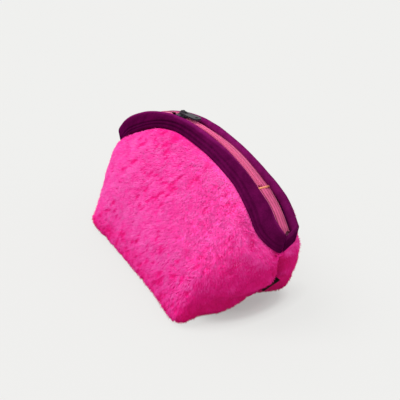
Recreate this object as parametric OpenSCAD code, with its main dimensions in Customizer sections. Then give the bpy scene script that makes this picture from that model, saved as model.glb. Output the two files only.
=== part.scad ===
// Plush zip pouch standing on its base: two plush walls, a padded base, velvet bound lips that
// fold open along the mouth, a coil zip along the arc between them, its slider and its pull tab.
// Millimetres, +Z up, origin on the ground under the middle of the base, front face towards -Y.

/* [Outside shape] */
// Width from tip to tip along the zip
tip_w = 180; // [165:1:195]
// Height of the two tips of the mouth
tip_z = 54; // [51:0.5:57]
// Height of the middle of the mouth
apex_z = 89.5; // [87:0.5:93]
// Reach of the foot to the right of the middle
foot_right = 57.5; // [55:0.5:60]
// Reach of the foot to the left of the middle
foot_left = 58.5; // [56:0.5:61]
// Reach of the foot in front of the middle
foot_front = 43; // [41:0.5:45]
// Reach of the foot behind the middle
foot_back = 47.8; // [46:0.2:49]
// How much further the front of the foot reaches at its right end than half way along
foot_skew = 4; // [2:0.5:5]
// Share by which the front corners of the foot stand out
corner_pull = 0.15; // [0.1:0.01:0.18]
// Radius of the roll where the walls turn under
base_roll = 8.5; // [8:0.25:10]
// Squareness of the foot corners, smaller is squarer
corner_power = 0.38; // [0.34:0.02:0.5]
// How far the walls swell outwards half way up
wall_bulge = 7; // [5:0.5:9]
// How far the left end swells outwards under its tip
left_swell = 4.5; // [3:0.5:6]
// How far the front wall puffs out beside the right seam
front_puff = 5; // [3.5:0.25:6]
// How far the back wall puffs out beside the right seam
back_puff = 2.5; // [1.5:0.25:4]
// Depth of the side seams between the padded walls
seam_dip = 4.5; // [3.5:0.25:5]
// How far the right seam lies behind the middle at the foot
seam_back = 9; // [7:0.5:10]
// Depth of the fold that each lip opens on, under the middle of the mouth
fold_drop = 17.5; // [16.5:0.25:18.5]

/* [Layers] */
// Thickness of the plush with its pile
plush_t = 4.5; // [4:0.25:5]
// Thickness of the wadding
wadding_t = 1.5; // [1.2:0.1:1.8]
// How far the wadding stops below the top of the wall
wadding_drop = 6; // [5:0.5:8]
// Thickness of the lining
lining_t = 0.6; // [0.4:0.1:0.8]
// Thickness of the board in the base
board_t = 2; // [1.5:0.1:3]
// Air between layers that lie on each other
layer_gap = 0.2; // [0.15:0.05:0.3]
// Air between pieces that move past each other
fold_gap = 0.4; // [0.3:0.05:0.6]

/* [Binding] */
// Width of the folded velvet binding
binding_w = 11; // [10:0.25:12]
// Thickness of the binding over the edge inside it
binding_t = 6.5; // [6:0.25:7]
// Thickness of the velvet
velvet_t = 1.1; // [0.9:0.1:1.4]
// Width of the mouth between the two bindings
mouth_gap = 9; // [8.75:0.25:10]
// Slope of the binding away from upright
binding_tilt = 45; // [42:1:48]
// Slope of the binding at the tips
tip_tilt = 6; // [3:1:10]
// How far the binding stands above the plush below it
binding_proud = 0.75; // [0.5:0.25:1.25]
// Thickness of the sewing thread
thread_d = 0.6; // [0.4:0.1:0.8]

/* [Zip] */
// Angle along the mouth of the sewn stop at the open end
stop_angle = 26; // [25:0.5:27]
// Angle along the mouth where the slider stands when shut
slider_angle = -8; // [-10:0.5:-6]
// Depth of the tape under the top of the binding
tape_sink = 4; // [3.5:0.25:5]
// Thickness of the tape
tape_t = 0.5; // [0.4:0.1:0.7]
// Depth of the tape margin sewn down inside the lip
tape_margin = 5; // [4:0.5:7]
// Thickness of one coil
coil_d = 1.8; // [1.6:0.1:2]

/* [Slider] */
// Length of the slider
slider_len = 10; // [9:0.25:11]
// Width of the slider
slider_w = 6.6; // [6.2:0.1:6.8]
// Thickness of each slider plate
plate_t = 0.9; // [0.8:0.1:1]
// Diameter of the pin that the pull tab swings on
pin_d = 1.4; // [1.2:0.1:1.6]
// Air around that pin
pin_gap = 0.08; // [0.05:0.01:0.1]
// Width of the crown that holds the pin
crown_w = 1.8; // [1.6:0.1:2]
// Length of the pull tab from its pin
tab_len = 17; // [15:0.5:19]
// Width of the pull tab
tab_w = 5.2; // [4.8:0.1:5.6]
// Thickness of the pull tab
tab_t = 1; // [0.8:0.1:1.2]
// Slope of the pull tab lying on the slider
tab_droop = 4; // [2:0.5:5]

/* [Label] */
// Height of the middle of the side label
label_z = 20; // [18:0.5:22]
// Width of the label ribbon along the seam
label_w = 14; // [10:0.5:16]
// Length of the label out of the seam
label_len = 6; // [5:0.5:8]
// Thickness of the label ribbon
ribbon_t = 0.5; // [0.4:0.1:0.7]

/* [Hidden] */
$fn = 64;
columns = 24;
rows = 9;
roll_rows = 3;
foot_z = 0.3;
fold_z = apex_z - fold_drop;
arc_r = (pow(tip_w / 2, 2) + pow(apex_z - tip_z, 2)) / (2 * (apex_z - tip_z));
arc_z = apex_z - arc_r;
tip_phi = asin(tip_w / 2 / arc_r);
tip_gap = 0.8;
nose_phi = 4.5;
post_r = 1;
label_turn = 15;
binding_s = binding_w - binding_t / 2;
cavity_t = binding_t - 2 * velvet_t;
wadding_in = plush_t + layer_gap;
lining_in = wadding_in + wadding_t + layer_gap;
inside_in = lining_in + lining_t;
board_z = plush_t + layer_gap;
base_lining_z = board_z + board_t + layer_gap;
tape_r = arc_r - tape_sink;
coil_r = tape_r + tape_t / 2 + coil_d / 2 + 0.05;
coil_y = coil_d / 2 + 0.05;
// Half height of the tunnel through the slider, over and under the middle of the coil
tunnel_up = coil_d / 2 + 0.35;
tunnel_down = coil_d / 2 + tape_t + 0.4;
slider_phi = slider_len / 2 / coil_r * 180 / PI;
pin_z = tunnel_up + plate_t + pin_d / 2 + 0.55;

function mix(a, b, t) = a + (b - a) * t;
function ease(a, b, x) = let (t = min(1, max(0, (x - a) / (b - a)))) t * t * (3 - 2 * t);
function power(v, e) = sign(v) * pow(abs(v), e);
function unit(v) = v / norm(v);

// Mouth, by the angle from its middle towards the right tip
function converge(phi) = ease(stop_angle, tip_phi, abs(phi));
function half_gap(phi) = mix(mouth_gap, tip_gap, converge(phi)) / 2;
function tilt(phi) = mix(binding_tilt, tip_tilt, converge(phi));
function nose(phi) = let (u = min(0.98, max(0, (abs(phi) - tip_phi + nose_phi) / nose_phi))) sqrt(1 - u * u);
function on_arc(phi, r, h) = [r * sin(phi), -h, arc_z + r * cos(phi)];

// A point of the bound edge, s down the slope from the fold of the binding and n out of it
function band(phi, s, n) = let (t = tilt(phi)) on_arc(
    phi,
    arc_r - binding_t / 2 - s * cos(t) + n * sin(t),
    (half_gap(phi) + binding_t / 2 + s * sin(t) + n * cos(t)) * nose(phi)
);
function panel_top(phi) = band(phi, binding_s + 2 * layer_gap, binding_t / 2 - binding_proud);

// Outer skin of a wall by column angle, right to left, and height; a back wall is drawn mirrored
function clip(v) = min(1, max(-1, v));
function roll_inset(z) = z >= base_roll
    ? 0
    : base_roll - sqrt(pow(base_roll, 2) - pow(base_roll - max(z, 0), 2));
function pull(tau, back) = back ? 1 : 1 + corner_pull * pow(abs(sin(2 * tau)), 3);
function foot_x(tau, inset, back) =
    ((cos(tau) > 0 ? foot_right : foot_left) - inset) * power(cos(tau), corner_power) * pull(tau, back);
function foot_reach(x, back) = back ? foot_back : foot_front + foot_skew * clip(x / foot_right);
function foot_y(tau, inset, back) =
    (foot_reach(foot_x(tau, inset, back), back) - inset) * power(sin(tau), corner_power) * pull(tau, back);
function swell(tau, t) = cos(tau) < 0 ? 9.5 * left_swell * pow(-cos(tau), 3) * pow(t, 3) * (1 - t) : 0;
function seam_line(tau, t) = cos(tau) > 0 ? seam_back * (1 - ease(0.2, 1, t)) : 0;
function seam_y(tau, t, y) = seam_line(tau, t) * pow(max(0, 1 - abs(y) / foot_front), 3);
function share_up(tau, z) = (z - foot_z) / (panel_top(tip_phi * cos(tau))[2] - foot_z);
function wall_point(tau, z, back) = let (
    top = panel_top(tip_phi * cos(tau)),
    t = share_up(tau, z),
    inset = roll_inset(z),
    side = sign(sin(tau)) * ease(0, 0.25, abs(sin(tau))),
    x = mix(foot_x(tau, inset, back), top[0], t) - swell(tau, t),
    y = mix(foot_y(tau, inset, back), -top[1] * side, t) + 4 * wall_bulge * sin(tau) * t * (1 - t)
) [x, (back ? -1 : 1) * seam_y(tau, t, y) - y, z];
function inward(tau, z, back) = let (
    low = max(z - 0.2, foot_z / 2),
    across = wall_point(tau + 0.5, z, back) - wall_point(tau - 0.5, z, back),
    along = wall_point(tau, z + 0.2, back) - wall_point(tau, low, back)
) unit(cross(across, along));

// Padding of a wall beside the right seam, and its dip into both seams
function puff(tau, t, back) = ease(0.55, 0.9, cos(tau)) * (1 - ease(0.8, 1, t))
    * (back ? back_puff * ease(0.1, 0.5, t) : front_puff * ease(0.12, 0.45, t));
function dip(tau, t) = seam_dip * (1 - ease(0, 0.01, sin(tau))) * ease(0, 0.12, t) * (1 - ease(0.8, 1, t));

// Column angle for each of the evenly spaced columns of the foot, and their heights up the wall
function top_of(tau) = min(fold_z - fold_gap / 2, panel_top(tip_phi * cos(tau))[2]);
function foot_column(i) = let (a = atan(pow(abs(tan(180 * i / columns)), 2)))
    i == columns / 2 ? 90 : i > columns / 2 ? 180 - a : a;
function column(i, k) = mix(foot_column(i), 180 * i / columns, k / rows);
function row_z(tau, k) = k <= roll_rows
    ? max(foot_z, base_roll * (1 - cos(90 * k / roll_rows)))
    : k == rows
        ? top_of(tau)
        : mix(base_roll, top_of(tau) - wadding_drop, (k - roll_rows) / (rows - 1 - roll_rows));
function layer_point(tau, z, d, back) = let (
    t = share_up(tau, z),
    p = wall_point(tau, z, back) + (d + dip(tau, t) - puff(tau, t, back)) * inward(tau, z, back),
    seam = (back ? -1 : 1) * seam_line(tau, t)
) [p[0], min(p[1], seam - layer_gap / 2), p[2]];

// Closed layer between two depths under the outer skin of a wall, up to one of its rows
module wall_layer(d0, d1, last, back) {
    n = (columns + 1) * (last + 1);
    pts = [
        for (d = [d0, d1]) for (i = [0 : columns]) for (k = [0 : last])
            let (tau = column(i, k)) layer_point(tau, row_z(tau, k), d, back)
    ];
    skin = [
        for (i = [0 : columns - 1]) for (k = [0 : last - 1])
            let (a = i * (last + 1) + k, b = a + last + 1)
            each [[a, b, b + 1], [a, b + 1, a + 1], [n + a, n + b + 1, n + b], [n + a, n + a + 1, n + b + 1]]
    ];
    ends = [
        for (i = [0 : columns - 1])
            let (a = i * (last + 1), b = a + last + 1, d = a + last, c = b + last)
            each [[b, a, n + a], [b, n + a, n + b], [d, c, n + c], [d, n + c, n + d]]
    ];
    sides = [
        for (k = [0 : last - 1])
            let (a = k, b = columns * (last + 1) + k)
            each [[a, a + 1, n + a + 1], [a, n + a + 1, n + a], [b + 1, b, n + b], [b + 1, n + b, n + b + 1]]
    ];
    polyhedron(points = pts, faces = concat(skin, ends, sides));
}

// Flat plate over the foot between two heights, inside the turned edge of the walls
module foot_plate(z0, z1) {
    shrink = 1 - 1.5 * fold_gap / foot_front;
    front = [
        for (i = [0 : columns])
            let (p = layer_point(foot_column(i), foot_z, inside_in, false)) shrink * [p[0], p[1]]
    ];
    back = [
        for (i = [columns : -1 : 0])
            let (p = layer_point(foot_column(i), foot_z, inside_in, true)) shrink * [p[0], -p[1]]
    ];
    translate([0, 0, z0])
        linear_extrude(height = z1 - z0)
            polygon(concat(front, back));
}

// Section swept along the mouth about the centre of its arc; the section lies in radius and depth
module along_arc(from, to) {
    translate([0, 0, arc_z])
        rotate([90, 0, 0])
            rotate([0, 0, 90 - to])
                rotate_extrude(angle = to - from, $fn = 360)
                    children();
}

// Section frame on the bound edge between the stops: down the slope and into the pouch
module on_band() {
    translate([arc_r - binding_t / 2, mouth_gap / 2 + binding_t / 2])
        rotate(180 - binding_tilt)
            children();
}

module above_fold() {
    intersection() {
        children();
        translate([-tip_w, -tip_w, fold_z + fold_gap / 2])
            cube([2 * tip_w, 2 * tip_w, apex_z]);
    }
}

// Outline of the folded binding, down the slope and out of it
function fold_outline() = let (r = binding_t / 2, q = r - velvet_t, e = binding_s) concat(
    [[e, r]],
    [for (i = [0 : 6]) [-r * sin(30 * i), r * cos(30 * i)]],
    [[e, -r], [e, -q]],
    [for (i = [6 : -1 : 0]) [-q * sin(30 * i), q * cos(30 * i)]],
    [[e, q]]
);

// Tube of section points swept along the tip of the mouth
module tip_sweep(from, to, sections, count) {
    steps = len(sections) - 1;
    pts = [for (s = sections) each s];
    skin = [
        for (j = [0 : steps - 1]) for (i = [0 : count - 1])
            let (a = j * count + i, b = j * count + (i + 1) % count)
            each [[a, b, b + count], [a, b + count, a + count]]
    ];
    caps = [[for (i = [count - 1 : -1 : 0]) i], [for (i = [0 : count - 1]) steps * count + i]];
    polyhedron(points = pts, faces = concat(skin, caps));
}

function tip_angle(j, steps) = mix(stop_angle + 0.4, tip_phi, j / steps);

module binding_tip_half() {
    outline = fold_outline();
    steps = 6;
    tip_sweep(
        stop_angle, tip_phi,
        [for (j = [0 : steps]) [for (p = outline) band(tip_angle(j, steps), p[0], p[1])]],
        len(outline)
    );
}

module zip_end_half() {
    steps = 5;
    r0 = tape_r - tape_t / 2;
    r1 = tape_r + tape_t / 2;
    tip_sweep(
        stop_angle, tip_phi,
        [
            for (j = [0 : steps])
                let (phi = tip_angle(j, steps + 1), h = half_gap(phi) - layer_gap)
                [for (p = [[r0, layer_gap / 2], [r0, h], [r1, h], [r1, layer_gap / 2]]) on_arc(phi, p[0], p[1])]
        ],
        4
    );
}

module both_tips() {
    children();
    mirror([0, 1, 0]) children();
}

// Local frame on the zip: X along the chain towards the right tip, Z out of the arc
module on_chain(phi) {
    translate([0, 0, arc_z])
        rotate([0, phi, 0])
            translate([0, 0, coil_r])
                children();
}

module front_panel() {
    color("HotPink") wall_layer(0, plush_t, rows, false);
}

module back_panel() {
    color("HotPink") mirror([0, 1, 0]) wall_layer(0, plush_t, rows, true);
}

module base_panel() {
    color("HotPink") foot_plate(0, plush_t);
}

module front_wadding() {
    color("White") wall_layer(wadding_in, wadding_in + wadding_t, rows - 1, false);
}

module back_wadding() {
    color("White") mirror([0, 1, 0]) wall_layer(wadding_in, wadding_in + wadding_t, rows - 1, true);
}

module front_lining() {
    color("MistyRose") wall_layer(lining_in, lining_in + lining_t, rows, false);
}

module back_lining() {
    color("MistyRose") mirror([0, 1, 0]) wall_layer(lining_in, lining_in + lining_t, rows, true);
}

module base_board() {
    color("Tan") foot_plate(board_z, board_z + board_t);
}

module base_lining() {
    color("MistyRose") foot_plate(base_lining_z, base_lining_z + lining_t);
}

module right_binding_tip() {
    color("Purple") both_tips() binding_tip_half();
}

module left_binding_tip() {
    color("Purple") mirror([1, 0, 0]) both_tips() binding_tip_half();
}

module right_zip_end() {
    color("PaleVioletRed") both_tips() zip_end_half();
}

module left_zip_end() {
    color("PaleVioletRed") mirror([1, 0, 0]) both_tips() zip_end_half();
}

// Row of stitches across both tapes at the open end of the chain
module zip_bartack() {
    width = mouth_gap - 4 * layer_gap - 2 * tape_t;
    color("SandyBrown")
        on_chain(stop_angle + 0.9)
            translate([-0.6, -width / 2, -coil_d / 2 + layer_gap])
                cube([1.2, width, 1]);
}

// Ribbon folded in half and caught in the right side seam
module side_label() {
    half = ribbon_t + layer_gap;
    low = layer_point(0, label_z - label_w / 2, 0, false);
    high = layer_point(0, label_z + label_w / 2, 0, false);
    lean = high - low;
    seam = (low + high) / 2;
    bank = layer_point(column(1, roll_rows + 2), label_z, 0, false) - seam;
    lift = half * abs(bank[0] / bank[1]) + 4 * fold_gap;
    color("Black")
        translate(seam + [lift, layer_gap / 2, 0])
            rotate([-asin(lean[1] / norm(lean)), atan2(lean[0], lean[2]), label_turn])
            translate([0, 0, -label_w / 2])
            linear_extrude(height = label_w)
                difference() {
                    union() {
                        translate([0, -half]) square([label_len, 2 * half]);
                        translate([label_len, 0]) circle(r = half);
                    }
                    translate([-1, -layer_gap]) square([label_len + 1, 2 * layer_gap]);
                    translate([label_len, 0]) circle(r = layer_gap);
                }
}

// Plush edge inside the binding and the strip of wall between the binding and the fold
module lip_panel() {
    core = cavity_t - 2 * layer_gap;
    depth = binding_w + base_roll;
    above_fold()
        along_arc(-stop_angle + 0.6, stop_angle - 0.6)
            on_band() {
                translate([0, -core / 2]) square([binding_s + layer_gap, core]);
                translate([binding_s + layer_gap, binding_proud - binding_t / 2]) square([depth, plush_t]);
            }
}

module lip_lining() {
    depth = binding_w + base_roll - layer_gap;
    above_fold()
        along_arc(-stop_angle + 0.6, stop_angle - 0.6)
            on_band()
                translate([binding_s + 2 * layer_gap, binding_proud - binding_t / 2 + plush_t + layer_gap])
                    square([depth, lining_t]);
}

module lip_binding() {
    along_arc(-stop_angle, stop_angle)
        on_band()
            difference() {
                union() {
                    circle(d = binding_t);
                    translate([0, -binding_t / 2]) square([binding_s, binding_t]);
                }
                circle(d = cavity_t);
                translate([0, -cavity_t / 2]) square([binding_w, cavity_t]);
            }
}

// Two rows of sewing on the face of the binding
module lip_stitching() {
    along_arc(-stop_angle + 0.3, stop_angle - 0.3)
        on_band()
            for (s = [binding_s * 0.3, binding_s * 0.78])
                translate([s, -binding_t / 2 - thread_d / 2 - 0.03]) circle(d = thread_d);
}

// Half of the zip tape, its margin turned down inside the lip, and parted past the post of the slider
module lip_tape() {
    edge = mouth_gap / 2 - layer_gap;
    parting = slider_angle - slider_phi * 0.25;
    difference() {
        along_arc(-stop_angle, stop_angle)
            union() {
                translate([tape_r - tape_t / 2, layer_gap / 2]) square([tape_t, edge - layer_gap / 2]);
                translate([tape_r - tape_margin, edge - tape_t]) square([tape_margin, tape_t]);
            }
        along_arc(-stop_angle - 1, parting)
            translate([tape_r - tape_t, -layer_gap]) square([2 * tape_t, post_r + 2 * layer_gap]);
    }
}

module lip_coil() {
    along_arc(slider_angle, stop_angle)
        translate([coil_r, coil_y]) circle(d = coil_d);
}

module lip_stop() {
    along_arc(slider_angle - slider_phi - 1.7, slider_angle - slider_phi - 0.5)
        translate([coil_r - coil_d / 2, 0.4]) square([coil_d, coil_d]);
}

module front_lip_panel() {
    color("HotPink") lip_panel();
}

module front_lip_lining() {
    color("MistyRose") lip_lining();
}

module front_binding() {
    color("Purple") lip_binding();
}

module front_binding_stitching() {
    color("Indigo") lip_stitching();
}

module front_zip_tape() {
    color("PaleVioletRed") lip_tape();
}

module front_zip_coil() {
    color("HotPink") lip_coil();
}

module front_top_stop() {
    color("DimGray") lip_stop();
}

module back_lip_panel() {
    color("HotPink") mirror([0, 1, 0]) lip_panel();
}

module back_lip_lining() {
    color("MistyRose") mirror([0, 1, 0]) lip_lining();
}

module back_binding() {
    color("Purple") mirror([0, 1, 0]) lip_binding();
}

module back_binding_stitching() {
    color("Indigo") mirror([0, 1, 0]) lip_stitching();
}

module back_zip_tape() {
    color("PaleVioletRed") mirror([0, 1, 0]) lip_tape();
}

module back_zip_coil() {
    color("HotPink") mirror([0, 1, 0]) lip_coil();
}

module back_top_stop() {
    color("DimGray") mirror([0, 1, 0]) lip_stop();
}

// Outline of a slider plate: wide at the shut end, narrower behind
module plate_outline() {
    r = slider_w / 2;
    translate([-slider_len / 2 + r, 0]) circle(r = r);
    translate([-slider_len / 2 + r, -r]) square([slider_len - r - 1.2, slider_w]);
    translate([-slider_len / 2 + r, -r + 1.2]) square([slider_len - r, slider_w - 2.4]);
    for (y = [-r + 1.2, r - 1.2])
        translate([slider_len / 2 - 1.2, y]) circle(r = 1.2);
}

// Two plates joined by the post between the coils, with flanges that keep the coils in
module slider_body() {
    flange = 0.7;
    post_x = -slider_len / 2 + 2;
    color("DimGray")
        on_chain(slider_angle) {
            translate([0, 0, tunnel_up]) linear_extrude(height = plate_t) plate_outline();
            translate([0, 0, -tunnel_down - plate_t]) linear_extrude(height = plate_t) plate_outline();
            translate([post_x, 0, -tunnel_down - plate_t / 2])
                cylinder(r = post_r, h = tunnel_up + tunnel_down + plate_t);
            for (y = [-slider_w / 2, slider_w / 2 - flange])
                translate([-slider_len / 2 + slider_w / 2, y, 0])
                    cube([slider_len - slider_w / 2 - 1.5, flange, tunnel_up + plate_t / 2]);
        }
}

// Block over the top plate with the bore for the pin of the pull tab
module slider_crown() {
    wall = 0.8;
    r = pin_d / 2 + pin_gap;
    base = tunnel_up + plate_t;
    color("DimGray")
        on_chain(slider_angle)
            translate([0, crown_w / 2, 0])
                rotate([90, 0, 0])
                    linear_extrude(height = crown_w)
                        difference() {
                            union() {
                                translate([0, pin_z]) circle(r = r + wall);
                                translate([-r - wall, base + 0.02]) square([2 * (r + wall), pin_z - base - 0.02]);
                            }
                            translate([0, pin_z]) circle(r = r);
                            translate([-3 * r, base + 0.02 - 3 * r]) square([6 * r, 3 * r]);
                        }
}

// Leaf spring of the lock, flat on the top plate ahead of the crown
module slider_spring() {
    r = pin_d / 2 + pin_gap + 0.8;
    base = tunnel_up + plate_t + 0.02;
    color("Gray")
        on_chain(slider_angle)
            translate([-slider_len / 2 + 1.2, -crown_w / 2, base])
                cube([slider_len / 2 - r - 1.3, crown_w, 0.5]);
}

// Pull tab lying back over the shut chain, with its pin through the crown
module pull_tab() {
    arm = 1;
    inner = crown_w / 2 + 0.3;
    outer = inner + arm;
    window = 4.5;
    color("DimGray")
        on_chain(slider_angle)
            translate([0, 0, pin_z])
                rotate([0, tab_droop, 0]) {
                    rotate([90, 0, 0]) cylinder(d = pin_d, h = 2 * outer, center = true);
                    for (y = [-outer, inner])
                        translate([0, y, -tab_t / 2]) cube([window + 1, arm, tab_t]);
                    translate([window, 0, -tab_t / 2])
                        linear_extrude(height = tab_t)
                            difference() {
                                union() {
                                    translate([0, -outer]) square([2, 2 * outer]);
                                    translate([1, -tab_w / 2]) square([tab_len - window - 1 - tab_w / 2, tab_w]);
                                    translate([tab_len - window - tab_w / 2, 0]) circle(d = tab_w);
                                }
                                translate([tab_len - window - tab_w / 2, 0]) circle(d = tab_w * 0.4);
                            }
                }
}

front_panel();
back_panel();
base_panel();
front_wadding();
back_wadding();
front_lining();
back_lining();
base_board();
base_lining();
left_binding_tip();
right_binding_tip();
left_zip_end();
right_zip_end();
zip_bartack();
side_label();
front_lip_panel();
front_lip_lining();
front_binding();
front_binding_stitching();
front_zip_tape();
front_zip_coil();
front_top_stop();
back_lip_panel();
back_lip_lining();
back_binding();
back_binding_stitching();
back_zip_tape();
back_zip_coil();
back_top_stop();
slider_body();
slider_crown();
slider_spring();
pull_tab();
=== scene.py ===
import math
import bpy
import bmesh
import numpy as np
from mathutils import Matrix, Vector, noise


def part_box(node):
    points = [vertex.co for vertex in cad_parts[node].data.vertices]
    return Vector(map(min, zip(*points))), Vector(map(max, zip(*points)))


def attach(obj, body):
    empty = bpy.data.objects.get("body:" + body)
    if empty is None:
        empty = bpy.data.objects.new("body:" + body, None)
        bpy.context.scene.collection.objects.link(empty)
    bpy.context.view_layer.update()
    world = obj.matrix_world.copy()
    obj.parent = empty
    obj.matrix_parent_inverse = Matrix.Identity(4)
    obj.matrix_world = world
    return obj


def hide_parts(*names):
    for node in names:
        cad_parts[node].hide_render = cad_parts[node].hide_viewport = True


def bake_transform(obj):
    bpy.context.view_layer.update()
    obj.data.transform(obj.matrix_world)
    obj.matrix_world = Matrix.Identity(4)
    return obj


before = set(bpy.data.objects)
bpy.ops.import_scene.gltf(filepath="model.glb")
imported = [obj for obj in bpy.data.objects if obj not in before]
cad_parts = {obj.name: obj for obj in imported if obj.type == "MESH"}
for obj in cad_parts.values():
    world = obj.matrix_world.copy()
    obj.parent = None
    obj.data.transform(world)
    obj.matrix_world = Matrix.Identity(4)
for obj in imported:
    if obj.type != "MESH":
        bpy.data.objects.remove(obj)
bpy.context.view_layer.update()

# Millimetres to metres
MM = 0.001

# Mouth of the pouch: the arc that the zip follows, by the angle from its middle, right tip first
TIP_WIDTH = 180.0
TIP_HEIGHT = 54.0
APEX_HEIGHT = 89.5
RIGHT_TIP = 40.2
LEFT_TIP = 44.8
FRONT_GAP = 4.5
FRONT_GAP_RIGHT = 2.4
BACK_GAP = 4.5
BACK_GAP_RIGHT = 5.9
TIP_GAP = 0.04
RIGHT_CLOSES = 34.5
BACK_RIGHT_CLOSES = 38.4
LEFT_CLOSES = 29.0
NOSE_ANGLE = 4.4
BACK_NOSE_ANGLE = 1.5
RIGHT_TIP_FORWARD = 2.5
RIGHT_TIP_UPRIGHT = 0.75

# Velvet binding folded over each lip
BACK_WIDTH = 11.0
FRONT_WIDTH_LEFT = 14.2
FRONT_WIDTH_MIDDLE = 9.4
FRONT_WIDTH_RIGHT = 11.6
BINDING_THICKNESS = 6.4
BACK_THICKNESS = 4.8
SLIDER_ROOM = 1.1
THINNED = 2.0
BINDING_TILT = 46.0
TIP_TILT = 7.0
LEFT_TILT_EASES = 6.0
RIGHT_TILT_EASES = 29.0
BINDING_PROUD = 0.9
FRONT_RISE = 0.5
BACK_DROP_LEFT = 0.7
BACK_DROP = 2.1
GROOVES_UP = (2.0, 4.3)
GROOVE_DEPTH = 0.6
GROOVE_WIDTH = 0.55
BINDING_NOOK = 1.4
STITCH_PITCH = 3.0
STITCH_LENGTH = 2.1
STITCH_RADIUS = 0.24

# Plush walls: the foot is a little deeper at its right end, with nearly square corners
FOOT_RIGHT = 57.5
FOOT_LEFT = 58.5
FOOT_FRONT = 43.0
FOOT_BACK = 47.8
FOOT_SKEW = 4.0
CORNER_POWER = 0.38
CORNER_PULL = 0.15
BACK_PULL = -0.06
WALL_BULGE = 6.8
LEFT_SWELL = 4.5
FRONT_PUFF = 5.0
BACK_PUFF = 2.5
BACK_TIP_PUFF = 1.3
FRONT_HEEL = 2.3
BACK_HEEL = 2.2
SHOULDER = 1.7
SHOULDER_HOLLOW = 1.8
SEAM_BACK = 8.0
SEAM_FOOT = 4.0
BASE_ROLL = 8.0
FOOT_HEIGHT = 0.3
BACKING_DEPTH = 1.1
BACKING_THICKNESS = 2.2
SEAM_DEPTH = 4.5
SEAM_WIDTH = 3.2
BACK_SEAM_WIDTH = 6.5
WALL_SHORT = 0.2
RIGHT_END = 30.0

# Lining: shares of the wall's height at its foot and at its turn, then its way under the binding
LINING_DEPTH = 6.4
LINING_THICKNESS = 0.5
LINING_FOOT = 0.1
LINING_TOP = 0.99
LINING_TURNS = 0.85
LINING_OFF_SEAM = 0.004
LINING_SEAM = 0.08
LININGS_APART = 0.4
LINING_PAST_EDGE = 0.6
LINING_UNDER_ARC = 5.7
LINING_ROUNDS = 8
SLIDER_CLEAR = 4.5

# Pile of the plush: tufts, how they lean, how far each strays by chance, and the dents in them, with
# painted shade in the dents and beside the right side seam
PILE_LENGTH = 2.4
PILE_RADIUS = 0.42
WALL_TUFTS = 46000
BASE_TUFTS = 14000
BASE_PILE_SHARE = 0.8
TUFT_LEAN = 52.0
TUFT_SINK = 0.95
PILE_FLOOR = 0.15
# Painted shade: width of the darker tone painted on the back wall beside the right side seam
CREASE_SHADE_WIDTH = 3.5
BRUSH_STRAY = 0.35
LEAN_STRAY = 6.0
LENGTH_STRAY = 0.1
TONE_STRAY = 0.09
DENT_COUNT = 250
DENT_LENGTH = 2.5
DENT_WIDTH = 1.0
DENT_REACH = 3.0
DENT_SHORTENS = 0.25
DENT_SINKS = 0.35
# Painted shade: how much darker the pile's tone is painted in its dents
DENT_PAINTED_SHADE = 0.8

# Zip
TAPE_SINK = 4.0
TAPE_THICKNESS = 0.5
TAPE_RISE = 3.3
COIL_DIAMETER = 1.8
COIL_PITCH = 0.75
COIL_WIRE = 0.3
STOP_ANGLE = 26.0
SLIDER_ANGLE = -8.0
TACK_COUNT = 3
TACK_RADIUS = 0.2
TOP_STOP_SIZE = (2.6, 1.7, 1.7)
TOP_STOP_ROUND = 0.4

# Ribbon in the right side seam: the line it is sewn along, and how far it stands out
RIBBON_FOOT = (58.8, 4.7, 12.4)
RIBBON_HEAD = (66.0, 6.6, 24.2)
RIBBON_REACH = (6.4, 2.7, -1.5)
RIBBON_BOW = 0.45
RIBBON_THICKNESS = 0.35

ARC_RADIUS = ((TIP_WIDTH / 2) ** 2 + (APEX_HEIGHT - TIP_HEIGHT) ** 2) / (2 * (APEX_HEIGHT - TIP_HEIGHT))
ARC_HEIGHT = APEX_HEIGHT - ARC_RADIUS


def mix(a, b, t):
    return a + (b - a) * t


def ease(a, b, x):
    t = np.clip((x - a) / (b - a), 0, 1)
    return t * t * (3 - 2 * t)


def wander(points, size, seed):
    """Smooth noise from -1 to 1 over points in millimetres, with bumps of about that size."""
    shift = Vector((seed * 17.3, seed * 5.1, seed * 9.7))
    return np.array([noise.noise(Vector(p) / size + shift) for p in points])


def on_arc(angle, radius, out):
    """A point at a radius from the arc's centre, and out towards the front."""
    turn = np.radians(angle)
    x = radius * np.sin(turn)
    z = ARC_HEIGHT + radius * np.cos(turn)
    return np.stack(np.broadcast_arrays(x, -out, z), -1)


def tip_of(angle):
    return np.where(angle < 0, LEFT_TIP, RIGHT_TIP)


def thinned(angle):
    """Where the front binding is thinner, so that the slider has room at the end of its travel."""
    return ease(10, 19, angle) * (1 - ease(27, 33, angle))


def half_gap(angle, back):
    """From the zip's middle line to the inner face of one binding."""
    left, right = (BACK_GAP, BACK_GAP_RIGHT) if back else (FRONT_GAP, FRONT_GAP_RIGHT)
    open_gap = mix(left, right, ease(-2, 14, angle) if back else ease(4, 24, angle))
    if not back:
        open_gap = open_gap + SLIDER_ROOM * thinned(angle)
    closes = np.where(angle < 0, LEFT_CLOSES, BACK_RIGHT_CLOSES if back else RIGHT_CLOSES)
    return mix(open_gap, TIP_GAP, ease(closes, tip_of(angle), np.abs(angle)))


def binding_tilt(angle):
    starts = np.where(angle < 0, LEFT_TILT_EASES, RIGHT_TILT_EASES)
    return np.radians(mix(BINDING_TILT, TIP_TILT, ease(starts, tip_of(angle), np.abs(angle))))


def nose(angle, back):
    """Share by which the binding stands off the middle line, down to 0 round each tip's end."""
    length = np.where((angle > 0) & back, BACK_NOSE_ANGLE, NOSE_ANGLE)
    u = np.clip((np.abs(angle) - tip_of(angle) + length) / length, 0, 0.99)
    return np.sqrt(1 - u * u)


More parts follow.
